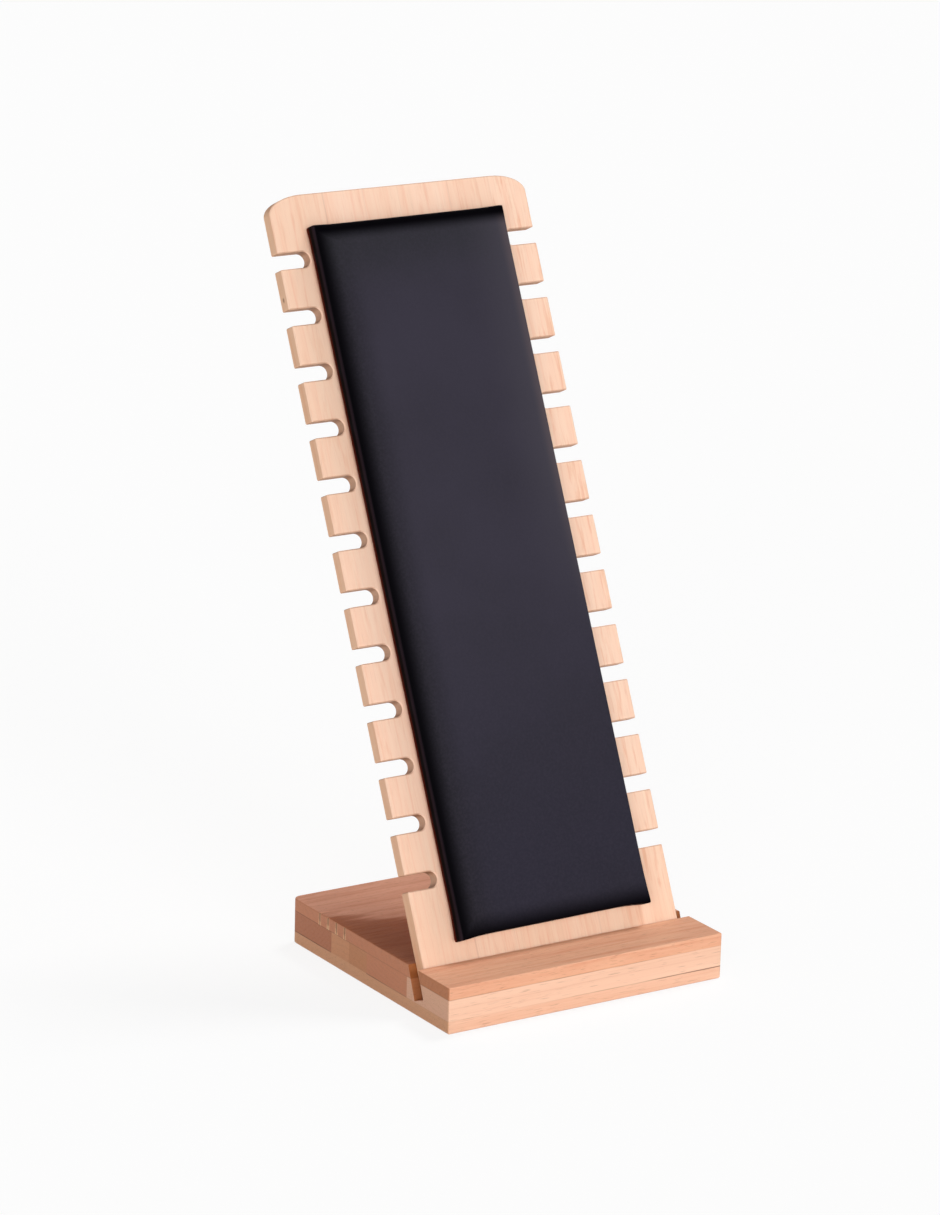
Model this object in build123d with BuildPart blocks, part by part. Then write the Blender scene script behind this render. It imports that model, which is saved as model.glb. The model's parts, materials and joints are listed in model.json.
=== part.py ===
"""Eyeglass display rack: a notched, padded board that stands in a slanted slot of a wooden base.

Frame: millimetres, +Z up, front towards -Y, origin at the centre of the base's underside.
"""

from build123d import *
import os
from math import cos, radians, sin, sqrt, tan

os.makedirs("parts", exist_ok=True)

# ---------------------------------------------------------------- driving dimensions

# base block, glued up from three layers
base_width = 182.0
base_depth = 167.4
bottom_layer = 7.5
core_layer = 12.3
top_layer = 7.2
front_corner_radius = 1.2
rear_corner_radius = 5.0
edge_ease = 0.8

# staves of the core layer and of the top layer, counted from the back
core_rear_stave = 44.0
core_second_stave = 38.0
core_joint_margin = 1.0
top_rear_stave = 25.0
top_finger_stave = 39.0

# finger joint in the second top stave: tips of the neighbouring length, left at the end face
finger_count = 4
finger_pitch = 9.0
finger_root = 2.6
finger_point = 1.2
finger_length = 6.0

# slanted slot, sawn across the whole base behind the front rail
rail_depth = 32.0
slot_angle = 21.0
slot_play = 1.5
slot_floor_web = 0.5
contact_gap = 0.1

# notched board; its top corners are quarter ellipses, which reach along the top and drop down the sides
board_width = 170.0
board_thickness = 8.0
corner_reach = 22.0
corner_drop = 10.5
board_ease = 0.6
board_shift = -1.5

# notches for the temples, one row on each side: the first below the board's top, the last above the rail
notch_count = 12
notch_pitch = 32.0
notch_height = 9.2
notch_depth = 20.0
notch_mouth_radius = 0.8
first_notch_drop = 32.2
last_notch_rise = 42.6

# padded panel on the board's face, set in from the notches, the board's top and the rail
pad_side_gap = 2.4
pad_drop = 19.4
pad_rail_gap = 11.6
pad_corner_radius = 1.6
pad_roll = 3.2
leather = 0.8
pad_board_thickness = 2.5
foam_thickness = 5.0
turn_over = 12.0
tape_width = 20.0
tape_count = 3
tape_end_gap = 6.0

# ---------------------------------------------------------------- derived levels and planes

core_floor = bottom_layer
top_floor = bottom_layer + core_layer
base_height = bottom_layer + core_layer + top_layer
base_front = -base_depth / 2
base_back = base_depth / 2
rail_back = base_front + rail_depth

slant = radians(slot_angle)
slot_width = board_thickness + slot_play
slot_mouth = slot_width / cos(slant)
slot_drop = top_layer + core_layer - slot_floor_web
front_wall = (slot_drop - slot_width * sin(slant)) / cos(slant)
rear_wall = front_wall + slot_width * tan(slant)
foot_y = rail_back - front_wall * sin(slant)
foot_z = base_height - front_wall * cos(slant)

# slot plane: local x runs back across the slot, local y runs up the slot, origin at the front wall's foot
slot_plane = Plane(
    origin=(0, foot_y, foot_z),
    x_dir=(0, cos(slant), -sin(slant)),
    z_dir=(1, 0, 0),
)

# The board tips back in the slot until its rear face meets the slot's rear edge, with its front foot
# against the front wall. The extra lean solves t * cos(d) + rise * tan(d) = free width, for a small d.
free_width = slot_width - 2 * contact_gap
rise = rear_wall - contact_gap
extra_lean = (rise - sqrt(rise**2 - 2 * board_thickness * (free_width - board_thickness))) / board_thickness
lean = slant + extra_lean
board_foot = slot_plane.from_local_coords(
    Vector(contact_gap, contact_gap + board_thickness * sin(extra_lean), 0)
)

# board plane: local x runs across the board, local y up it, local z out of its front face
board_plane = Plane(
    origin=(board_shift, board_foot.Y, board_foot.Z),
    x_dir=(1, 0, 0),
    z_dir=(0, -cos(lean), sin(lean)),
)

core_joint_rear = base_back - core_rear_stave
core_joint_middle = core_joint_rear - core_second_stave
core_joint_front = rail_back + slot_mouth + core_joint_margin
top_joint_rear = base_back - top_rear_stave
top_joint_front = top_joint_rear - top_finger_stave
slot_middle = rail_back + slot_mouth / 2

# heights up the board's face, from its foot
rail_line = (base_height - board_foot.Z) / cos(lean)
notch_span = (notch_count - 1) * notch_pitch + notch_height
notch_middle = rail_line + last_notch_rise + notch_span / 2
board_height = rail_line + last_notch_rise + notch_span + first_notch_drop
pad_foot = rail_line + pad_rail_gap
pad_height = board_height - pad_drop - pad_foot
pad_middle = pad_foot + pad_height / 2
pad_width = board_width - 2 * (notch_depth + pad_side_gap)
pad_board_floor = leather
foam_floor = pad_board_floor + pad_board_thickness
pad_thickness = foam_floor + foam_thickness + leather
core_width = pad_width - 2 * leather
core_height = pad_height - 2 * leather


def finish(piece, name):
    """Name a finished piece and write it as its own file."""
    piece.part.label = name
    export_step(piece.part, f"parts/{name}.step")


# ---------------------------------------------------------------- base block

# the glued block as one shape, with its eased outer edges and its slot: each layer is cut out of it
with BuildPart() as block:
    with BuildSketch(Plane.XY) as footprint:
        Rectangle(base_width, base_depth)
        fillet(footprint.vertices().group_by(Axis.Y)[0], front_corner_radius)
        fillet(footprint.vertices().group_by(Axis.Y)[-1], rear_corner_radius)
    extrude(amount=base_height)
    chamfer(block.edges().group_by(Axis.Z)[0], edge_ease)
    fillet(block.edges().group_by(Axis.Z)[-1], edge_ease)
    with BuildSketch(slot_plane):
        Rectangle(slot_width, 2 * rear_wall, align=(Align.MIN, Align.MIN))
    extrude(amount=base_width, both=True, mode=Mode.SUBTRACT)


def stave(name, floor, thickness, front, back):
    """Cut one stave out of the block: the layer from floor up, between two glue lines."""
    with BuildPart() as piece:
        add(block.part)
        with BuildSketch(Plane.XY.offset(floor)):
            with Locations((0, (front + back) / 2)):
                Rectangle(base_width, back - front)
        extrude(amount=thickness, mode=Mode.INTERSECT)
    finish(piece, name)
    return piece


bottom_board = stave("bottom_board", 0, bottom_layer, base_front, base_back)

core_stave_rear = stave("core_stave_rear", core_floor, core_layer, core_joint_rear, base_back)
core_stave_second = stave("core_stave_second", core_floor, core_layer, core_joint_middle, core_joint_rear)
core_stave_third = stave("core_stave_third", core_floor, core_layer, core_joint_front, core_joint_middle)
core_stave_front = stave("core_stave_front", core_floor, core_layer, base_front, core_joint_front)

top_stave_rear = stave("top_stave_rear", top_floor, top_layer, top_joint_rear, base_back)
top_stave_front = stave("top_stave_front", top_floor, top_layer, slot_middle, top_joint_front)
rail_cap = stave("rail_cap", top_floor, top_layer, base_front, slot_middle)

# the tapered tips of the finger joint, which show in the left end face
with BuildPart() as finger_tips:
    with BuildSketch(Plane.XY.offset(top_floor)):
        with Locations((-base_width / 2, (top_joint_rear + top_joint_front) / 2)):
            with GridLocations(0, finger_pitch, 1, finger_count):
                Polygon(
                    (0, -finger_root / 2),
                    (finger_length, -finger_point / 2),
                    (finger_length, finger_point / 2),
                    (0, finger_root / 2),
                    align=None,
                )
    extrude(amount=top_layer)
    add(block.part, mode=Mode.INTERSECT)
finish(finger_tips, "finger_tips")

with BuildPart() as top_stave_fingered:
    add(block.part)
    with BuildSketch(Plane.XY.offset(top_floor)):
        with Locations((0, (top_joint_rear + top_joint_front) / 2)):
            Rectangle(base_width, top_finger_stave)
    extrude(amount=top_layer, mode=Mode.INTERSECT)
    add(finger_tips.part, mode=Mode.SUBTRACT)
finish(top_stave_fingered, "top_stave_fingered")

# ---------------------------------------------------------------- notched board

with BuildPart() as notched_board:
    with BuildSketch(board_plane) as outline:
        Rectangle(board_width, board_height - corner_drop, align=(Align.CENTER, Align.MIN))
        Rectangle(board_width - 2 * corner_reach, board_height, align=(Align.CENTER, Align.MIN))
        with Locations((0, board_height - corner_drop)):
            with GridLocations(board_width - 2 * corner_reach, 0, 2, 1):
                Ellipse(corner_reach, corner_drop)
        with Locations((0, notch_middle)):
            with GridLocations(board_width, notch_pitch, 2, notch_count):
                SlotOverall(2 * notch_depth, notch_height, mode=Mode.SUBTRACT)
        for side in (0, -1):
            mouths = outline.vertices().group_by(Axis.X)[side].sort_by(Axis.Y)[1:-1]
            fillet(mouths, notch_mouth_radius)
    extrude(amount=-board_thickness)
    board_faces = notched_board.faces().sort_by(Axis(board_plane.origin, board_plane.z_dir))
    chamfer(board_faces[0].edges() + board_faces[-1].edges(), board_ease)
finish(notched_board, "notched_board")

# ---------------------------------------------------------------- padded panel

with BuildPart() as pad_board:
    with BuildSketch(board_plane.offset(pad_board_floor)):
        with Locations((0, pad_middle)):
            Rectangle(core_width, core_height)
    extrude(amount=pad_board_thickness)
finish(pad_board, "pad_board")

with BuildPart() as pad_foam:
    with BuildSketch(board_plane.offset(foam_floor)):
        with Locations((0, pad_middle)):
            Rectangle(core_width, core_height)
    extrude(amount=foam_thickness)
    foam_front = pad_foam.faces().sort_by(Axis(board_plane.origin, board_plane.z_dir))[-1]
    fillet(foam_front.edges(), pad_roll - leather)
finish(pad_foam, "pad_foam")

# leatherette skin: over the front and sides, and turned over behind the backing board
with BuildPart() as pad_cover:
    with BuildSketch(board_plane):
        with Locations((0, pad_middle)):
            RectangleRounded(pad_width, pad_height, pad_corner_radius)
    extrude(amount=pad_thickness)
    cover_front = pad_cover.faces().sort_by(Axis(board_plane.origin, board_plane.z_dir))[-1]
    fillet(cover_front.edges(), pad_roll)
    add(pad_board.part, mode=Mode.SUBTRACT)
    add(pad_foam.part, mode=Mode.SUBTRACT)
    with BuildSketch(board_plane):
        with Locations((0, pad_middle)):
            Rectangle(core_width - 2 * turn_over, core_height - 2 * turn_over)
    extrude(amount=leather, mode=Mode.SUBTRACT)
finish(pad_cover, "pad_cover")

# double-sided tape strips inside the turned-over edge, which hold the panel on the board
with BuildPart() as pad_tape:
    tape_span = core_width - 2 * turn_over - tape_width - 2 * tape_end_gap
    with BuildSketch(board_plane):
        with Locations((0, pad_middle)):
            with GridLocations(tape_span / (tape_count - 1), 0, tape_count, 1):
                Rectangle(tape_width, core_height - 2 * turn_over - 2 * tape_end_gap)
    extrude(amount=leather)
finish(pad_tape, "pad_tape")
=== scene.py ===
"""Looks of the eyeglass display rack: wood, the padded leatherette panel, floor, lamps and camera.

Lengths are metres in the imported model's frame: +Z up, front towards -Y, origin under the base's
middle. The patterns in the materials are laid out in millimetres.
"""

import json
from math import cos, exp, radians, sin

import bpy
from mathutils import Matrix, Quaternion, Vector


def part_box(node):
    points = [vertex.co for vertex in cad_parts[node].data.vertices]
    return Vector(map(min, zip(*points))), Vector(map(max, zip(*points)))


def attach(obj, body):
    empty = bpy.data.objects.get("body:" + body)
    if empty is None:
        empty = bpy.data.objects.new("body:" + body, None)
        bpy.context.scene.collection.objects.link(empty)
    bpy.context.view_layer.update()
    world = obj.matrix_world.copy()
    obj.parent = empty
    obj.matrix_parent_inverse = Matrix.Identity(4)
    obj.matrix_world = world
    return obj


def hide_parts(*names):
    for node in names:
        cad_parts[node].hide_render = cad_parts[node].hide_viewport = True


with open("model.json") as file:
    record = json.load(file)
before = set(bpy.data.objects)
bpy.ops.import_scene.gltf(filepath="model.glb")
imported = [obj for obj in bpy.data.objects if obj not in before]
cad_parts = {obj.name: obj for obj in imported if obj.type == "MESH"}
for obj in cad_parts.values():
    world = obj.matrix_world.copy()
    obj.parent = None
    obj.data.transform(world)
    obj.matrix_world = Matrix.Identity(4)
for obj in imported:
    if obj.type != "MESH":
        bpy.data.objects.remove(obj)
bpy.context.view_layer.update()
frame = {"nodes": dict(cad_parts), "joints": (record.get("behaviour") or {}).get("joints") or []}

MM = 0.001

# ---------------------------------------------------------------- directions and places

# the board's own directions: across it, up along it, and out of its front face
across = Vector((1, 0, 0))
up_board = Vector(frame["joints"][0]["axis"]).normalized()
out_of_board = across.cross(up_board)

# straight up, and square to the walls of the slot, which slants back from upright
upright = Vector((0, 0, 1))
slot_slant = radians(21)
out_of_slot = Vector((0, -cos(slot_slant), sin(slot_slant)))

# the panel's layers, counted from the board's face
leather = 0.8 * MM
backing_board = 2.5 * MM
foam_floor = leather + backing_board

# the panel is glued on very slightly askew: its top turned to the left, and all of it a little left
panel_turn = radians(0.27)
panel_shift = -0.2 * MM
side_fullness = 0.8 * MM
askew = Quaternion(out_of_board, panel_turn)
panel_axes = (askew @ across, askew @ up_board, out_of_board)

backing_low, backing_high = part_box("pad_board")
backing_size = backing_high - backing_low
backing_middle = (backing_low + backing_high) / 2
panel_width = backing_size.x + 2 * leather + 2 * side_fullness
panel_height = (backing_size.z - backing_board * out_of_board.z) / up_board.z + 2 * leather
panel_foot = backing_middle - out_of_board * (leather + backing_board / 2) + panel_shift * across

board_low, board_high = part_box("notched_board")
board_middle = (board_low + board_high) / 2

bottom_low, bottom_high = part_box("bottom_board")
base_left, base_right = bottom_low.x, bottom_high.x
core_floor = bottom_high.z
top_floor, base_top = (corner.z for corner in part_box("rail_cap"))

tips_low, tips_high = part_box("finger_tips")
finger_count = 4
finger_root = 2.6 * MM
finger_pitch = (tips_high.y - tips_low.y - finger_root) / (finger_count - 1)

rear_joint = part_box("core_stave_rear")[0].y
second_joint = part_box("core_stave_second")[0].y
third_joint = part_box("core_stave_third")[0].y
second_middle = (rear_joint + second_joint) / 2

# ---------------------------------------------------------------- sizes of the soft panel

# the slab that it starts from, the cells that the slab is divided into, and its rounded edges
panel_rise = 10.0 * MM
cell = 4.2 * MM
wall_rows = 3
corner_round = 1.0 * MM
front_roll = 2.4 * MM
tolerance = 0.01 * MM

# its outline: small ears at the corners, lower and upper, and sides drawn in between them
low_ear, high_ear = 1.1 * MM, 0.25 * MM
ear_reach = 10 * MM
ear_spread = 0.4
side_tuck = 0.25 * MM
rim_reach = 6 * MM

# its face falls by the crown towards the edges; the filling pushes it out by the swell at most,
# and less sideways
crown = 1.3 * MM
crown_reach = 5.5 * MM
swell = 0.4 * MM
side_give = 0.35
swell_frames = 20

# its back: the skin's turned-over edge, and the level below which a point lies on the back
turn_over = 12 * MM
back_level = 0.5 * MM

# ---------------------------------------------------------------- light and camera

# each lamp's strength, and its azimuth, elevation and spread in degrees
LAMPS = {
    "front_lamp": (0.95, 0, 20, 26),
    "left_lamp": (1.1, -42, 15, 36),
    "back_lamp": (1.3, 105, 60, 16),
}

# white walls and a dim ceiling, with the heights between which one goes over into the other
wall_light, ceiling_light = 1.0, 0.2
wall_top, ceiling_foot = 0.16, 0.24

camera_place = Vector((-1.41943, -2.12827, 0.95655))
camera_aim = Vector((0.00933, 0.06012, 0.19137))
camera_lens = 142.12
camera_sensor = 36
camera_roll = 1.60

# ---------------------------------------------------------------- materials


def screen(red, green, blue):
    """Linear colour of a colour as it is seen on a screen, each part from 0 to 255."""
    parts = [part / 255 for part in (red, green, blue)]
    linear = [p / 12.92 if p <= 0.04045 else ((p + 0.055) / 1.055) ** 2.4 for p in parts]
    return (*linear, 1.0)


WHITE = (1, 1, 1, 1)


class Finish:
    """A procedural material being put together: a socket takes a value or another socket."""

    def __init__(self, name):
        self.material = bpy.data.materials.new(name)
        self.material.use_nodes = True
        self.tree = self.material.node_tree
        self.tree.nodes.clear()
        self.output = self.tree.nodes.new("ShaderNodeOutputMaterial")

    def feed(self, socket, value):
        if isinstance(value, bpy.types.NodeSocket):
            self.tree.links.new(value, socket)
        else:
            socket.default_value = value

    def add(self, kind, inputs=(), **settings):
        node = self.tree.nodes.new("ShaderNode" + kind)
        for name, value in settings.items():
            setattr(node, name, value)
        for name, value in dict(inputs).items():
            self.feed(node.inputs[name], value)
        return node

    def math(self, operation, first, second=0.0, clamp=False):
        node = self.add("Math", {0: first, 1: second}, operation=operation, use_clamp=clamp)
        return node.outputs[0]

    def times(self, first, second):
        return self.math("MULTIPLY", first, second)

    def remap(self, value, low, high, to_low=0.0, to_high=1.0):
        """A smooth step from one level to another, as the value goes from low to high."""
        sockets = {"Value": value, "From Min": low, "From Max": high}
        sockets.update({"To Min": to_low, "To Max": to_high})
        return self.add("MapRange", sockets, interpolation_type="SMOOTHSTEP").outputs["Result"]

    def mix(self, factor, first, second, blend="MIX"):
        node = self.add("Mix", data_type="RGBA", blend_type=blend, clamp_factor=True)
        for index, value in ((0, factor), (6, first), (7, second)):
            self.feed(node.inputs[index], value)
        return node.outputs[2]

    def stain(self, factor, colour, tint):
        """The colour multiplied by a tint, as far as the factor says."""
        return self.mix(factor, colour, tint, "MULTIPLY")

    def ramp(self, factor, stops, interpolation="LINEAR"):
        """A colour ramp; each stop is a position and a colour, or a position and a grey level."""
        node = self.add("ValToRGB", {"Fac": factor})
        node.color_ramp.interpolation = interpolation
        elements = node.color_ramp.elements
        for _ in stops[2:]:
            elements.new(0.5)
        for element, (position, colour) in zip(elements, stops):
            grey = not isinstance(colour, tuple)
            element.position = position
            element.color = (colour, colour, colour, 1) if grey else colour
        return node.outputs["Color"]

    def noise(self, place, scale, detail=2.0, roughness=0.5, distortion=0.0):
        sockets = {"Vector": place, "Scale": scale, "Detail": detail}
        sockets.update({"Roughness": roughness, "Distortion": distortion})
        return self.add("TexNoise", sockets, noise_dimensions="3D").outputs["Fac"]

    def place(self, middle=(0, 0, 0), axes=None, stretch=(1, 1, 1)):
        """Object coordinates in millimetres from a middle, along axes, divided by a stretch."""
        turn = Matrix(axes).transposed().to_euler() if axes else (0, 0, 0)
        sockets = {"Vector": self.add("TexCoord").outputs["Object"], "Location": middle}
        sockets.update({"Rotation": turn, "Scale": [part * MM for part in stretch]})
        return self.add("Mapping", sockets, vector_type="TEXTURE").outputs["Vector"]

    def along(self, axis, place=None):
        """One part of a place, X, Y or Z, or of the Object coordinates, which are in metres."""
        if place is None:
            place = self.add("TexCoord").outputs["Object"]
        return self.add("SeparateXYZ", {0: place}).outputs[axis]

    def facing(self, direction):
        """How squarely the surface faces along a direction, either way, from 0 to 1."""
        sockets = {0: self.add("TexCoord").outputs["Normal"], 1: tuple(direction)}
        dot = self.add("VectorMath", sockets, operation="DOT_PRODUCT")
        return self.math("ABSOLUTE", dot.outputs["Value"])

    def surface(self, colour, roughness, height, bump=0.2, relief=0.1 * MM, **constants):
        """The finished surface, bumped by the height. Constants go straight to its sockets."""
        bumped = self.add("Bump", {"Height": height, "Strength": bump, "Distance": relief})
        sockets = {"Base Color": colour, "Roughness": roughness}
        sockets["Normal"] = bumped.outputs["Normal"]
        for name, value in constants.items():
            sockets[name.replace("_", " ").title().replace("Ior", "IOR")] = value
        shader = self.add("BsdfPrincipled", sockets)
        self.feed(self.output.inputs["Surface"], shader.outputs["BSDF"])
        return self.material


# ---------------------------------------------------------------- wood

# light and dark of the long grain, and the end grain
WOOD_TONES = {
    "peach": ((255, 220, 196), (249, 195, 166), (218, 172, 142)),
    "beech": ((252, 204, 174), (238, 180, 148), (216, 160, 122)),
    "pale": ((253, 207, 178), (240, 186, 156), (224, 174, 144)),
    "honey": ((246, 188, 152), (230, 154, 120), (190, 123, 84)),
    "amber": ((234, 174, 146), (212, 144, 114), (204, 135, 100)),
    "sand": ((244, 196, 162), (220, 166, 132), (210, 148, 108)),
    "joint": ((240, 180, 150), (218, 150, 118), (246, 200, 156)),
    "russet": ((220, 156, 124), (186, 118, 88), (186, 119, 86)),
}
PORE_BROWN = screen(120, 70, 44)
END_RING_BROWN = screen(92, 48, 28)
END_PORE_BROWN = screen(120, 72, 48)
GLUE_BROWN = screen(112, 62, 38)

# noises across the fibres: scale, detail and roughness
RING_BREAKS = (0.22, 2, 0.5)
STREAKS = (0.55, 5, 0.66)
BANDS = (0.11, 2, 0.5)
PORES = (2.4, 1, 0.4)

# a wave texture has one ring in this length at a scale of 1
WAVE_LENGTH = 0.314

# grain directions, each with the fibres along its first axis
ALONG_BASE = ((1, 0, 0), (0, 1, 0), (0, 0, 1))
UP_THE_BOARD = (tuple(up_board), tuple(out_of_board), tuple(across))


def fibre_pattern(finish, axes, pith, ring_pitch, waviness, stretch, late_wood):
    """Rings, streaks, broad bands and pores of solid wood, as four values from 0 to 1."""
    place = finish.place(pith, axes, (stretch, 1, 1))
    sockets = {"Vector": place, "Scale": WAVE_LENGTH / ring_pitch, "Distortion": waviness}
    sockets.update({"Detail": 2.0, "Detail Scale": 1.4, "Detail Roughness": 0.55})
    shape = {"wave_type": "RINGS", "rings_direction": "X", "wave_profile": "SAW"}
    wave = finish.add("TexWave", sockets, **shape).outputs["Fac"]
    ring_end = 0.94
    ring_stops = [(0.0, 0.0), (ring_end - late_wood, 0.1), (ring_end, 1.0), (1.0, 0.0)]
    breaks = finish.remap(finish.noise(place, *RING_BREAKS), 0.35, 0.6, 0.25, 1.0)
    rings = finish.times(finish.ramp(wave, ring_stops), breaks)
    streaks = finish.remap(finish.noise(place, *STREAKS), 0.34, 0.68)
    bands = finish.remap(finish.noise(place, *BANDS), 0.3, 0.7)
    pores = finish.remap(finish.noise(place, *PORES), 0.63, 0.72)
    return rings, streaks, bands, pores


def wood(
    name, tone, axes=ALONG_BASE, pith=(0, 0, -0.15), ring_pitch=2.6, waviness=2.6, stretch=28,
    late_wood=0.4, figure=(0.34, 0.26, 0.4), pore_strength=0.45, tints=None, lines=None,
):
    """Oiled wood with its fibres along the first axis: long grain, and darker end grain.

    The figure gives the shares of the rings, the streaks and the bands. Tints and lines are
    functions that give a piece its tints, painted shade and shadow among them, and the strength
    of its glue lines.
    """
    finish = Finish(name)
    light, dark, end = (screen(*colour) for colour in WOOD_TONES[tone])
    patterns = fibre_pattern(finish, axes, pith, ring_pitch, waviness, stretch, late_wood)
    rings, streaks, _, pores = patterns
    shade = 0.0
    for pattern, share in zip(patterns, figure):
        shade = finish.math("ADD", shade, finish.times(pattern, share), clamp=True)
    long_grain = finish.mix(shade, light, dark)
    pore_colour = finish.mix(0.6, dark, PORE_BROWN)
    long_grain = finish.mix(finish.times(pores, pore_strength), long_grain, pore_colour)
    end_ring_colour = finish.mix(0.4, end, END_RING_BROWN)
    end_grain = finish.mix(finish.times(rings, 0.2), end, end_ring_colour)
    end_grain = finish.mix(finish.times(pores, 0.4), end_grain, END_PORE_BROWN)
    on_end = finish.remap(finish.facing(axes[0]), 0.45, 0.9)
    colour = finish.mix(on_end, long_grain, end_grain)
    if tints:
        colour = finish.stain(1.0, colour, tints(finish))
    if lines:
        colour = finish.mix(lines(finish), colour, GLUE_BROWN)
    roughness = finish.remap(streaks, 0.0, 1.0, 0.5, 0.62)
    height = finish.math("SUBTRACT", finish.times(streaks, 0.4), pores)
    constants = {"bump": 0.25, "relief": 0.12 * MM, "specular_ior_level": 0.32}
    return finish.surface(colour, roughness, height, **constants)


def glue_lines(*rows):
    """Thin dark glue lines.

    Each row is a height, a strength at the left and at the right end, and an extent in Y.
    """
    line_middle, line_edge = 0.12 * MM, 0.45 * MM
    left_end = 0.4 * base_left

    def strength(finish):
        height_here, side_here, depth_here = (finish.along(axis) for axis in "ZXY")
        patches = finish.noise(finish.place(stretch=(30, 30, 1)), 1.0)
        patches = finish.remap(patches, 0.35, 0.6, 0.35, 1.0)
        total = 0.0
        for height, left, right, front, back in rows:
            distance = finish.math("ABSOLUTE", finish.math("SUBTRACT", height_here, height))
            line = finish.remap(distance, line_middle, line_edge, 1.0, 0.0)
            line = finish.times(line, finish.remap(side_here, left_end, base_right, left, right))
            after_front = finish.math("GREATER_THAN", depth_here, front)
            before_back = finish.math("LESS_THAN", depth_here, back)
            line = finish.times(line, finish.times(after_front, before_back))
            total = finish.math("ADD", total, line)
        return finish.math("MULTIPLY", total, patches, clamp=True)

    return strength


# ---------------------------------------------------------------- tints of the notched board

# the staves that it is glued up from: where one ends across it, its shade, its joint's strength
BOARD_STAVES = [
    (-49, (0.99, 0.975, 0.965), 0.3),
    (-23, (1.0, 1.0, 1.0), 0.1),
    (8, (0.985, 0.975, 0.96), 0.06),
    (33, (1.0, 0.995, 0.99), 0.1),
    (61, (0.985, 0.97, 0.955), 0.08),
    (90, (0.995, 0.985, 0.975), 0.0),
]
BOARD_HALF = 90
JOINT_HALF = 0.45

# reddish flecks, strongest along the right side, and the lighter, browner sawn sides
FLECK_TINT = (0.93, 0.8, 0.73, 1)
SAWN_TONE = screen(244, 230, 214)

# the notches' round ends, this far from the board's middle, darkened with painted shade
notch_end = (68, 72)
PAINTED_NOTCH_SHADE = (0.7, 0.7, 0.72, 1)

# the board is a little warmer near its foot, and a little darker in its upper left part, which is
# painted shade
foot_zone = (0.03, 0.12)
FOOT_TINT = (1, 0.985, 0.95, 1)
upper_zone, left_zone = (0.2, 0.3), (-60, -40)
PAINTED_UPPER_LEFT_SHADE = (0.96, 0.95, 0.93, 1)

# the part that stands in the slot is darkened and warmed by painted shade and painted bounce
# light, with a soft edge below the base's top
slot_edge = (base_top - 9 * MM, base_top - 3 * MM)
PAINTED_SLOT_SHADE = (0.56, 0.4, 0.28, 1)

# a pin knot in the left side
knot = board_middle + 168.3 * MM * up_board - 85 * MM * across
KNOT_TONE = (0.3, 0.2, 0.14, 1)


def across_board(finish):
    """The distance from the board's middle, to the right, in millimetres."""
    return finish.along("Z", finish.place(board_middle, UP_THE_BOARD))


def along_staves(finish, stops, interpolation):
    """A ramp across the board, with each stop at a distance from its middle in millimetres."""
    width = 2 * BOARD_HALF
    factor = finish.math("ADD", finish.math("DIVIDE", across_board(finish), width), 0.5)
    ramp_stops = [((distance + BOARD_HALF) / width, level) for distance, level in stops]
    return finish.ramp(factor, ramp_stops, interpolation)


def board_tints(finish):
    """The staves' shades, the flecks, the sawn sides, the warmer foot, painted shade in the
    notches' ends, in the slot and at the upper left, and the pin knot.
    """
    starts = [-BOARD_HALF] + [end for end, _, _ in BOARD_STAVES[:-1]]
    stops = [(start, (*shade, 1)) for start, (_, shade, _) in zip(starts, BOARD_STAVES)]
    tint = along_staves(finish, stops, "CONSTANT")
    side = across_board(finish)
    height = finish.along("Z")

    fleck_place = finish.place(board_middle, UP_THE_BOARD, (11, 1, 1))
    flecks = finish.remap(finish.noise(fleck_place, 0.38, 4, 0.62, 0.5), 0.5, 0.68)
    flecks = finish.times(flecks, finish.remap(side, 40, 70, 0.5, 1.0))
    tint = finish.stain(flecks, tint, FLECK_TINT)

    sawn = finish.remap(finish.facing(out_of_board), 0.15, 0.6, 1.0, 0.0)
    tint = finish.mix(sawn, tint, SAWN_TONE)
    # painted shade in the notches' round ends, on the sawn walls
    deep = finish.remap(finish.math("ABSOLUTE", side), *notch_end, 1.0, 0.0)
    tint = finish.stain(finish.times(deep, sawn), tint, PAINTED_NOTCH_SHADE)

    tint = finish.stain(finish.remap(height, *foot_zone, 1.0, 0.0), tint, FOOT_TINT)
    # painted shade in the board's upper left part
    left = finish.remap(side, *left_zone, 1.0, 0.0)
    upper_left = finish.times(finish.remap(height, *upper_zone), left)
    tint = finish.stain(upper_left, tint, PAINTED_UPPER_LEFT_SHADE)
    # painted shade and painted bounce light on the part in the slot
    tint = finish.mix(finish.remap(height, *slot_edge, 1.0, 0.0), tint, PAINTED_SLOT_SHADE)

    knot_place = finish.place(knot, UP_THE_BOARD, (1.5, 1, 1))
    from_knot = finish.add("VectorMath", {0: knot_place}, operation="LENGTH").outputs["Value"]
    return finish.mix(finish.remap(from_knot, 0.4, 1.3, 0.8, 0.0), tint, KNOT_TONE)


def board_joints(finish):
    """The glue lines between the board's staves, on its front and its back."""
    stops = [(-BOARD_HALF, 0.0)]
    for end, _, strength in BOARD_STAVES[:-1]:
        stops += [(end - JOINT_HALF, 0.0), (end, strength), (end + JOINT_HALF, 0.0)]
    stops.append((BOARD_HALF, 0.0))
    front = finish.remap(finish.facing(out_of_board), 0.5, 0.9)
    return finish.times(along_staves(finish, stops, "LINEAR"), front)


# ---------------------------------------------------------------- tints of the base

# the painted shadow's edge starts on the left side at this place, and runs forward to the right
shadow_corner = Vector((base_left, 46 * MM, 0))
shadow_slope = 0.58
shadow_fray = 40
shadow_edge = (-8, 6)
PAINTED_SHADOW_TINT = (0.6, 0.4, 0.26, 1)

# painted shade on the slot's walls, in the top layer and in the middle layer
TOP_SLOT_SHADE = (0.46, 0.3, 0.12, 1)
CORE_SLOT_SHADE = (0.52, 0.32, 0.18, 1)

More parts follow.
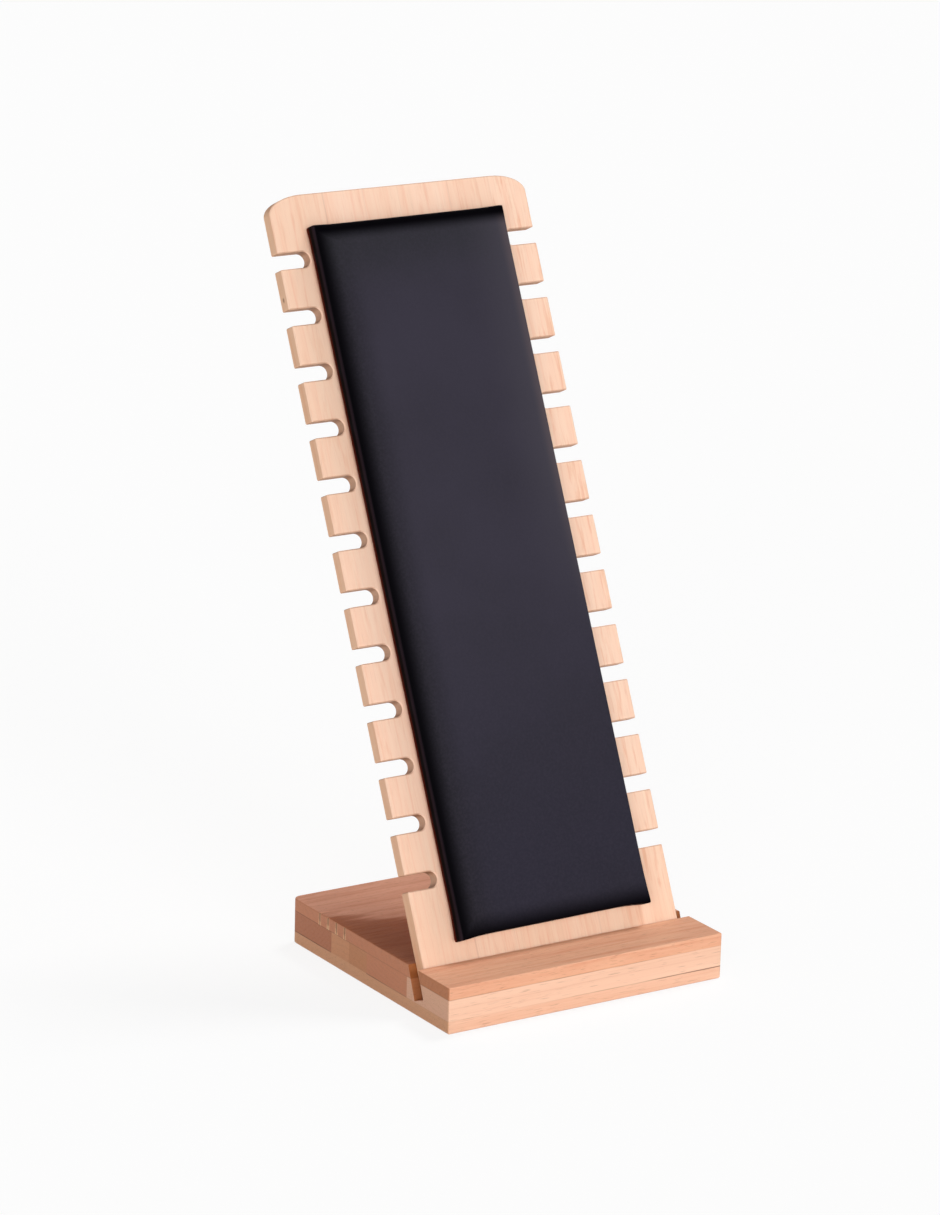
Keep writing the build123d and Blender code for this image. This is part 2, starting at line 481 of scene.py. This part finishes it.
# the darker front half of the second stave
SECOND_FRONT_TINT = (0.9, 0.85, 0.79, 1)

# the finger tips' middles, and their upper parts, which run out raggedly above the pale lower ends
TIP_MIDDLE_TINT = (0.62, 0.52, 0.47, 1)
TIP_UPPER_TINT = (0.7, 0.58, 0.54, 1)
tip_edge = (tips_low.z + 4.5 * MM, tips_low.z + 7.5 * MM)
tip_raggedness = 8 * MM


def painted_board_shadow(finish):
    """A painted shadow of the board on the top layer's left front, its edge frayed out along the
    fibres.
    """
    corner_place = finish.place(shadow_corner)
    frayed = finish.noise(finish.place(stretch=(60, 4.5, 4.5)), 0.6, 5, 0.62)
    frayed = finish.times(finish.math("SUBTRACT", frayed, 0.5), shadow_fray)
    slope = finish.times(finish.along("X", corner_place), shadow_slope)
    depth = finish.math("ADD", finish.along("Y", corner_place), slope)
    depth = finish.math("ADD", depth, frayed)
    inside = finish.remap(depth, *shadow_edge, 1.0, 0.0)
    on_top = finish.remap(finish.facing(upright), 0.6, 0.9)
    return finish.mix(finish.times(inside, on_top), WHITE, PAINTED_SHADOW_TINT)


def shaded_slot_walls(tint):
    """Wood darkened and browned on the walls of the slot by painted shade."""

    def shade(finish):
        wall = finish.remap(finish.facing(out_of_slot), 0.97, 0.99)
        return finish.mix(wall, WHITE, tint)

    return shade


def both(first, second):
    """Two tints, one over the other."""
    return lambda finish: finish.stain(1.0, first(finish), second(finish))


def two_shades(finish):
    """A stave that is glued up from a lighter rear half and a darker front half."""
    front_half = finish.math("LESS_THAN", finish.along("Y"), second_middle)
    return finish.mix(front_half, WHITE, SECOND_FRONT_TINT)


def finger_flanks(finish):
    """The finger joint's tips in the end face: pale glued flanks round a darker middle."""
    end_face = finish.remap(finish.facing(across), 0.5, 0.9)
    from_first = finish.math("SUBTRACT", finish.along("Y"), tips_low.y + finger_root / 2)
    step = finish.math("DIVIDE", from_first, finger_pitch)
    from_middle = finish.times(finish.math("PINGPONG", step, 0.5), finger_pitch)
    middle = finish.remap(from_middle, 0.18 * finger_root, 0.32 * finger_root, 1.0, 0.0)
    tint = finish.mix(finish.times(middle, end_face), WHITE, TIP_MIDDLE_TINT)
    ragged = finish.noise(finish.place(stretch=(1, 1.4, 1.4)), 0.5, 2, 0.6)
    height = finish.math("ADD", finish.along("Z"), finish.times(ragged, tip_raggedness))
    upper = finish.remap(height, *tip_edge)
    return finish.stain(finish.times(upper, end_face), tint, TIP_UPPER_TINT)


# ---------------------------------------------------------------- the panel's materials

# the leatherette's face low down and high up, lighter up high by painted sheen; the zones that
# lie over it: painted shade, sheen and highlight, and real clouding and creases; and its edges,
# with painted shade, a painted highlight and a painted reflection
LEATHER_TONES = {
    # painted sheen: lighter high up than low down
    "low": (46, 44, 55),
    "high": (57, 54, 65),
    # painted shade at the left and along the top
    "left": (38, 36, 42),
    "top": (46, 46, 50),
    "cloud": (38, 37, 40),
    "crease": (62, 58, 70),
    # painted sheen at the face's upper right
    "painted_sheen": (69, 66, 75),
    # painted highlight along the right edge
    "painted_highlight": (84, 75, 80),
    # painted shade: the black of the edges
    "edge": (3, 2, 5),
    # painted highlight on the left fold
    "painted_fold_highlight": (38, 28, 34),
    # painted reflection of the wood at the walls' foot
    "glow": (104, 34, 15),
}

# where those zones fade, in millimetres: from the left, from the top, from the right side and
# above the foot; the fold's width and the walls' levels, out from the board
painted_left_shade = (6, 28)
painted_top_shade = (8, 50)
painted_highlight_width = 9
painted_highlight_span = (150, 280)
fold_width = (0.4, 1.5)
fold_level = (5.5, 8.0)
painted_reflection_level = (0.6, 4.6)

# the black rim of painted shade fades inwards; a stretch and a shift make it softer at the foot
# and sharper at the top, and a lift out from the board ends it on the right wall
rim_fade = (1.8, 13.0)
foot_stretch, foot_shift = 0.75, 2.6
top_stretch, top_shift = 1.35, -2.8
right_lift = 1.6

FOAM_TONES = (screen(196, 193, 184), screen(236, 233, 224))
TAPE_TONES = (screen(226, 222, 206), screen(206, 200, 178))
HARDBOARD_TONES = [
    (0.3, screen(84, 54, 34)),
    (0.55, screen(122, 84, 54)),
    (0.75, screen(148, 106, 72)),
]


def leatherette():
    """Matte charcoal leatherette with a fine pebbled grain, and painted sheen, highlights,
    reflection and shade: black where it turns over the edges.
    """
    finish = Finish("charcoal_leatherette")
    tones = {name: screen(*tone) for name, tone in LEATHER_TONES.items()}
    place = finish.place()
    grain = {"Vector": place, "Scale": 1.5, "Smoothness": 0.6}
    pebbles = finish.add("TexVoronoi", grain, feature="SMOOTH_F1").outputs["Distance"]
    creases = finish.noise(place, 0.7, 4, 0.6)
    cloudy = finish.remap(finish.noise(place, 0.018, 2, 0.5), 0.3, 0.7)

    # distances from the panel's edges
    width, length = panel_width / MM, panel_height / MM
    right, up, out = (finish.along(axis, finish.place(panel_foot, panel_axes)) for axis in "XYZ")
    from_left = finish.math("ADD", width / 2, right)
    from_right = finish.math("SUBTRACT", width, from_left)
    from_right = finish.math("ADD", from_right, finish.times(out, right_lift))
    above_foot = finish.math("ADD", length / 2, up)
    from_foot = finish.math("ADD", finish.times(above_foot, foot_stretch), foot_shift)
    below_top = finish.math("SUBTRACT", length / 2, up)
    from_top = finish.math("ADD", finish.times(below_top, top_stretch), top_shift)

    # the face: lighter towards its top and darker at its left and along its top, all painted sheen
    # and shade, with a painted sheen at its upper right and a painted highlight along its right
    # edge
    lighter = finish.remap(above_foot, 0.0, 0.55 * length)
    upper = finish.remap(above_foot, 0.35 * length, 0.65 * length)
    # painted sheen, lighter at the face's upper right
    painted_sheen = finish.times(finish.remap(from_left, 0.7 * width, 1.1 * width), upper)
    # painted highlight along the right edge, fading out towards the foot
    right_rim = finish.remap(from_left, width - painted_highlight_width, width)
    painted_highlight = finish.times(right_rim, finish.remap(above_foot, *painted_highlight_span))
    colour = finish.mix(lighter, tones["low"], tones["high"])
    colour = finish.mix(finish.remap(from_left, *painted_left_shade, 1.0, 0.0), colour, tones["left"])
    colour = finish.mix(finish.remap(below_top, *painted_top_shade, 0.7, 0.0), colour, tones["top"])
    colour = finish.mix(finish.times(cloudy, 0.2), colour, tones["cloud"])
    colour = finish.mix(finish.remap(creases, 0.35, 0.7, 0.0, 0.25), colour, tones["crease"])
    colour = finish.mix(painted_sheen, colour, tones["painted_sheen"])
    colour = finish.mix(painted_highlight, colour, tones["painted_highlight"])

    # the edges: black with painted shade, with a painted highlight on the left fold and a painted
    # reflection of the wood, brown, at the walls' foot
    inside = finish.math("MINIMUM", from_left, from_right)
    inside = finish.math("MINIMUM", inside, finish.math("MINIMUM", from_top, from_foot))
    colour = finish.mix(finish.remap(inside, *rim_fade), tones["edge"], colour)
    # painted highlight along the left fold
    left_edge = finish.remap(from_left, *fold_width, 1.0, 0.0)
    painted_fold_highlight = finish.times(left_edge, finish.remap(out, *fold_level))
    colour = finish.mix(painted_fold_highlight, colour, tones["painted_fold_highlight"])
    # painted reflection of the wood, brown, low on the walls
    colour = finish.mix(finish.remap(out, *painted_reflection_level, 1.0, 0.0), colour, tones["glow"])

    roughness = finish.remap(creases, 0.3, 0.7, 0.46, 0.54)
    height = finish.math("ADD", finish.times(pebbles, 0.6), finish.times(creases, 0.4))
    constants = {"bump": 0.25, "relief": 0.08 * MM, "specular_ior_level": 0.02}
    return finish.surface(colour, roughness, height, **constants)


def foam():
    """Open-celled upholstery foam."""
    finish = Finish("pale_foam")
    pattern = {"Vector": finish.place(), "Scale": 1.8}
    cells = finish.add("TexVoronoi", pattern, feature="F1").outputs["Distance"]
    colour = finish.mix(finish.remap(cells, 0.1, 0.7), *FOAM_TONES)
    return finish.surface(colour, 0.95, cells, bump=0.7, relief=0.3 * MM, specular_ior_level=0.1)


def hardboard():
    """Pressed brown fibre board."""
    finish = Finish("brown_hardboard")
    fibres = finish.noise(finish.place(), 1.6, 5, 0.7, 1.2)
    colour = finish.ramp(fibres, HARDBOARD_TONES)
    roughness = finish.remap(fibres, 0.3, 0.7, 0.6, 0.8)
    return finish.surface(colour, roughness, fibres, bump=0.3, specular_ior_level=0.3)


def mounting_tape():
    """Double-sided mounting tape, slightly mottled where the glue has wetted it."""
    finish = Finish("mounting_tape")
    wetted = finish.noise(finish.place(), 0.35, 3, 0.6)
    colour = finish.mix(finish.remap(wetted, 0.4, 0.6), *TAPE_TONES)
    roughness = finish.remap(wetted, 0.35, 0.65, 0.35, 0.6)
    return finish.surface(colour, roughness, wetted, bump=0.15)


# ---------------------------------------------------------------- finishes of the CAD nodes


def dress(node, material):
    """Give a carried-over node its finish, in each of its material slots."""
    for slot in frame["nodes"][node].material_slots:
        slot.material = material


# extents in Y for the glue lines, which reach beyond the base's front and back
ahead, behind = -0.1, 0.1
whole_depth = (ahead, behind)

dress("bottom_board", wood(
    "bottom_wood", "beech", pith=(0.02, -0.05, -0.16), late_wood=0.25,
    lines=glue_lines(
        (core_floor, 0.8, 0.8, rear_joint, behind),
        (core_floor, 0.7, 0.7, third_joint, second_joint),
        (core_floor, 0.08, 0.85, ahead, third_joint),
    ),
))
dress("core_stave_rear", wood(
    "core_wood_rear", "russet", pith=(0, 0.12, 0.08),
    lines=glue_lines((core_floor, 0.8, 0.8, *whole_depth), (top_floor, 0.5, 0.5, *whole_depth)),
))
dress("core_stave_second", wood(
    "core_wood_second", "sand", pith=(0, 0.02, -0.12), ring_pitch=3.4, tints=two_shades,
    lines=glue_lines((top_floor, 0.25, 0.5, *whole_depth)),
))
dress("core_stave_third", wood(
    "core_wood_third", "amber", pith=(0, -0.05, 0.16),
    lines=glue_lines((core_floor, 0.7, 0.7, *whole_depth), (top_floor, 0.2, 0.4, *whole_depth)),
))
dress("core_stave_front", wood(
    "core_wood_front", "pale", pith=(0, -0.03, -0.2), ring_pitch=3.2, waviness=5, late_wood=0.2,
    figure=(0.5, 0.2, 0.3), tints=shaded_slot_walls(CORE_SLOT_SHADE),
    lines=glue_lines((core_floor, 0.08, 0.85, *whole_depth), (top_floor, 0.35, 0.1, *whole_depth)),
))
dress("top_stave_rear", wood(
    "top_wood_rear", "amber", pith=(0, 0.13, -0.03), ring_pitch=4.2, waviness=7, stretch=10,
    figure=(0.4, 0.2, 0.4), lines=glue_lines((top_floor, 0.4, 0.4, *whole_depth)),
))
dress("top_stave_fingered", wood(
    "top_wood_fingered", "amber", pith=(0, 0.09, -0.03), ring_pitch=4.6, waviness=8, stretch=9,
    figure=(0.5, 0.2, 0.3), tints=painted_board_shadow,
    lines=glue_lines((top_floor, 0.4, 0.4, *whole_depth)),
))
dress("top_stave_front", wood(
    "top_wood_front", "amber", pith=(0, 0.05, -0.02), ring_pitch=5.2, waviness=9, stretch=9,
    figure=(0.6, 0.2, 0.3), tints=both(painted_board_shadow, shaded_slot_walls(TOP_SLOT_SHADE)),
    lines=glue_lines((top_floor, 0.3, 0.3, *whole_depth)),
))
dress("finger_tips", wood(
    "finger_wood", "joint", pith=(0, 0.1, -0.08), tints=both(finger_flanks, painted_board_shadow),
))
dress("rail_cap", wood(
    "rail_wood", "honey", pith=(0, -0.14, -0.03), ring_pitch=3.8, waviness=6, stretch=16,
    figure=(0.5, 0.3, 0.3), lines=glue_lines((top_floor, 0.35, 0.1, *whole_depth)),
))
dress("notched_board", wood(
    "board_wood", "peach", UP_THE_BOARD, board_middle - 0.06 * out_of_board + 0.35 * across,
    ring_pitch=6.5, waviness=12, stretch=26, late_wood=0.1, figure=(0.4, 0.15, 0.3),
    pore_strength=0.1, tints=board_tints, lines=board_joints,
))
dress("pad_board", hardboard())
dress("pad_tape", mounting_tape())

# ---------------------------------------------------------------- padded panel


def active(piece):
    bpy.ops.object.select_all(action="DESELECT")
    piece.select_set(True)
    bpy.context.view_layer.objects.active = piece


def mode(name):
    bpy.ops.object.mode_set(mode=name)


def apply_modifier(piece, kind, **settings):
    """Add a modifier with the given settings and make its result the piece's mesh."""
    active(piece)
    bpy.ops.object.modifier_add(type=kind)
    modifier = piece.modifiers[-1]
    for name, value in settings.items():
        setattr(modifier, name, value)
    bpy.ops.object.modifier_apply(modifier=modifier.name)


def shape(piece, move):
    """Move each point of a piece, by a function of its place."""
    for vertex in piece.data.vertices:
        vertex.co = move(vertex.co.copy())
    piece.data.update()


def from_edges(point):
    """How far inside the panel's side and its end a point lies."""
    return max(panel_width / 2 - abs(point.x), 0), max(panel_height / 2 - abs(point.y), 0)


def fading(distance, reach):
    """1 at an edge, falling to 0 within a few times the reach."""
    return exp(-((distance / reach) ** 2))


def with_ears(point):
    """Pull the outline in between the corners and draw the four corners out into small points."""
    from_side, from_end = from_edges(point)
    tuck = side_tuck * (1 - fading(from_side, ear_reach) * fading(from_end, ear_reach))
    ear = high_ear if point.y > 0 else low_ear
    reach_x = ear_spread * ear * fading(from_end, ear_reach) - tuck
    reach_y = ear * fading(from_side, ear_reach) - tuck
    point.x += fading(from_side, rim_reach) * reach_x * (1 if point.x > 0 else -1)
    point.y += fading(from_end, rim_reach) * reach_y * (1 if point.y > 0 else -1)
    return point


def crowned(point):
    """Let the face fall away gently towards all four edges."""
    from_side, from_end = from_edges(point)
    level = (1 - exp(-from_side / crown_reach)) * (1 - exp(-from_end / crown_reach))
    point.z *= 1 - crown / panel_rise * (1 - level)
    return point


def pick(piece, edges):
    """Select only the edges that the test accepts, and go into edit mode with them."""
    active(piece)
    mode("EDIT")
    bpy.ops.mesh.select_mode(type="EDGE")
    bpy.ops.mesh.select_all(action="DESELECT")
    mode("OBJECT")
    points = piece.data.vertices
    for edge in piece.data.edges:
        edge.select = edges(*(points[index].co for index in edge.vertices))
    mode("EDIT")


def corner_edge(start, end):
    """An edge that stands upright in one of the slab's four corners."""
    half_width, half_height = panel_width / 2, panel_height / 2
    return all(
        abs(abs(point.x) - half_width) < tolerance and abs(abs(point.y) - half_height) < tolerance
        for point in (start, end)
    )


def front_rim(start, end):
    """An edge of the rim round the slab's face."""
    middle = (start + end) / 2
    outside = max(abs(middle.x) - panel_width / 2, abs(middle.y) - panel_height / 2)
    return min(start.z, end.z) > panel_rise - tolerance and outside > -0.2 * corner_round


def panel_start():
    """The panel before it swells: a slab lying face up, in cells, with its front edges rolled."""
    bpy.ops.object.select_all(action="DESELECT")
    bpy.ops.mesh.primitive_cube_add(
        size=1,
        location=(0, 0, panel_rise / 2),
        scale=(panel_width, panel_height, panel_rise),
    )
    slab = bpy.context.active_object
    bpy.ops.object.transform_apply(location=True, rotation=True, scale=True)
    for axis, rows in ((0, panel_width / cell), (1, panel_height / cell), (2, wall_rows)):
        pick(slab, lambda start, end: abs(start[axis] - end[axis]) > 0.5 * MM)
        bpy.ops.mesh.subdivide(number_cuts=round(rows) - 1)
        mode("OBJECT")
    pick(slab, corner_edge)
    bpy.ops.mesh.bevel(offset=corner_round, segments=2)
    mode("OBJECT")
    pick(slab, front_rim)
    bpy.ops.mesh.bevel(offset=front_roll, segments=4, clamp_overlap=True)
    mode("OBJECT")
    shape(slab, crowned)
    shape(slab, with_ears)
    return slab


CLOTH = {
    "quality": 6,
    "mass": 0.25,
    "tension_stiffness": 30,
    "compression_stiffness": 30,
    "shear_stiffness": 12,
    "bending_stiffness": 1.5,
    "use_pressure": True,
    "uniform_pressure_force": 4,
    "vertex_group_mass": "held",
}


def swollen(slab):
    """Let the filling push the skin out by no more than the swell, with its back held in place."""
    held = slab.vertex_groups.new(name="held")
    held.add([v.index for v in slab.data.vertices if v.co.z < back_level], 1.0, "REPLACE")
    start = [v.co.copy() for v in slab.data.vertices]
    active(slab)
    bpy.ops.object.modifier_add(type="CLOTH")
    cloth = slab.modifiers[-1]
    for name, value in CLOTH.items():
        setattr(cloth.settings, name, value)
    cloth.settings.effector_weights.gravity = 0
    scene = bpy.context.scene
    for number in range(1, swell_frames + 1):
        scene.frame_set(number)
    settled = slab.evaluated_get(bpy.context.evaluated_depsgraph_get())
    moved = [v.co.copy() for v in settled.data.vertices]
    slab.modifiers.remove(cloth)
    scene.frame_set(1)
    for vertex, place, goal in zip(slab.data.vertices, start, moved):
        step = goal - place
        length = max(step.length, 1e-9)
        step *= swell * (1 - exp(-length / swell)) / length
        vertex.co = place + Vector((step.x * side_give, step.y * side_give, step.z))
    slab.vertex_groups.clear()
    return slab


def onto_board(piece):
    """Turn a piece that lies face up at the origin onto the board's face, within its mesh."""
    turn = Matrix(panel_axes).transposed().to_4x4()
    piece.data.transform(Matrix.Translation(panel_foot) @ turn)
    piece.data.update()


def turned_over_skin(form):
    """The leatherette skin: the form with its back open inside the turned-over edge, made thick."""
    half_width, half_height = panel_width / 2 - turn_over, panel_height / 2 - turn_over
    for face in form.data.polygons:
        inside = abs(face.center.x) < half_width and abs(face.center.y) < half_height
        face.select = face.center.z < back_level and inside
    for kind in (form.data.vertices, form.data.edges):
        for part in kind:
            part.select = False
    active(form)
    mode("EDIT")
    bpy.ops.mesh.select_mode(type="FACE")
    bpy.ops.mesh.delete(type="FACE")
    mode("OBJECT")
    apply_modifier(form, "SUBSURF", levels=1, render_levels=1)
    apply_modifier(form, "SOLIDIFY", thickness=leather, offset=-1, use_even_offset=True)
    return form


def filling(form):
    """The foam: the same form, a little over a skin smaller, cut off at the backing board."""
    apply_modifier(form, "DISPLACE", strength=-1.3 * leather, mid_level=0)
    active(form)
    mode("EDIT")
    bpy.ops.mesh.select_all(action="SELECT")
    cut = {"plane_co": (0, 0, foam_floor), "plane_no": (0, 0, -1)}
    bpy.ops.mesh.bisect(**cut, use_fill=True, clear_outer=True)
    bpy.ops.mesh.normals_make_consistent(inside=False)
    mode("OBJECT")
    return form


form = panel_start()
form = swollen(form)

pad_filling = form.copy()
pad_filling.data = form.data.copy()
bpy.context.collection.objects.link(pad_filling)
pad_filling.name = "pad_filling"
filling(pad_filling)
onto_board(pad_filling)
pad_filling.data.materials.append(foam())

pad_skin = turned_over_skin(form)
pad_skin.name = "pad_skin"
onto_board(pad_skin)
pad_skin.data.materials.append(leatherette())
active(pad_skin)
bpy.ops.object.shade_smooth()

panel_pieces = ((pad_skin, "pad_cover", "leatherette"), (pad_filling, "pad_foam", "foam"))
for piece, node, slot_name in panel_pieces:
    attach(piece, "rack_board")
    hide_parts(node)

# ---------------------------------------------------------------- floor, lamps and camera

floor_size = 60
floor_drop = 0.1 * MM
floor_grey = (0.86, 0.86, 0.86, 1)
glow_strength, glow_share = 1.05, 0.82


def seen_directly(finish):
    """1 for rays that show the background: from the camera, off a gloss or through glass."""
    path = finish.add("LightPath").outputs
    indirect = finish.math("MAXIMUM", path["Is Glossy Ray"], path["Is Transmission Ray"])
    return finish.math("MAXIMUM", path["Is Camera Ray"], indirect)


def pale_floor():
    """A plain pale floor, which glows to white where it is seen and still takes a soft shadow."""
    bpy.ops.object.select_all(action="DESELECT")
    bpy.ops.mesh.primitive_plane_add(size=floor_size, location=(0, 0, -floor_drop))
    floor = bpy.context.active_object
    floor.name = "floor"
    finish = Finish("pale_floor")
    plain = finish.add("BsdfDiffuse", {"Color": floor_grey}).outputs[0]
    glow = finish.add("Emission", {"Color": WHITE, "Strength": glow_strength}).outputs[0]
    share = finish.times(seen_directly(finish), glow_share)
    blend = finish.add("MixShader", {0: share, 1: plain, 2: glow})
    finish.feed(finish.output.inputs["Surface"], blend.outputs[0])
    floor.data.materials.append(finish.material)


def room():
    """Even light from all round: white walls to a little above the horizon, a dimmer ceiling."""
    world = bpy.data.worlds.new("room")
    bpy.context.scene.world = world
    world.use_nodes = True
    tree = world.node_tree
    tree.nodes.clear()
    kinds = ("TexCoord", "SeparateXYZ", "MapRange", "Background", "OutputWorld")
    direction, parts, level, light, output = (
        tree.nodes.new("ShaderNode" + kind) for kind in kinds
    )
    limits = {"From Min": wall_top, "From Max": ceiling_foot}
    limits.update({"To Min": wall_light, "To Max": ceiling_light})
    for name, value in limits.items():
        level.inputs[name].default_value = value
    tree.links.new(direction.outputs["Generated"], parts.inputs[0])
    tree.links.new(parts.outputs["Z"], level.inputs["Value"])
    tree.links.new(level.outputs["Result"], light.inputs["Strength"])
    tree.links.new(light.outputs[0], output.inputs["Surface"])


def lamp(name, strength, azimuth, elevation, spread):
    """A soft, distant lamp. Azimuth 0 stands in front of the rack and 90 at its right."""
    data = bpy.data.lights.new(name, "SUN")
    data.energy = strength
    data.angle = radians(spread)
    stand = bpy.data.objects.new(name, data)
    bpy.context.collection.objects.link(stand)
    level = cos(radians(elevation))
    towards = Vector((
        level * sin(radians(azimuth)),
        -level * cos(radians(azimuth)),
        sin(radians(elevation)),
    ))
    stand.rotation_euler = towards.to_track_quat("Z", "Y").to_euler()
    stand.location = towards * 2


def camera():
    data = bpy.data.cameras.new("camera")
    data.lens = camera_lens
    data.sensor_width = camera_sensor
    stand = bpy.data.objects.new("camera", data)
    bpy.context.collection.objects.link(stand)
    stand.location = camera_place
    turn = (camera_aim - camera_place).to_track_quat("-Z", "Y")
    roll = Quaternion((0, 0, 1), radians(camera_roll))
    stand.rotation_euler = (turn @ roll).to_euler()
    bpy.context.scene.camera = stand


pale_floor()
room()
for name, settings in LAMPS.items():
    lamp(name, *settings)
camera()
bpy.context.scene.view_settings.view_transform = "Standard"
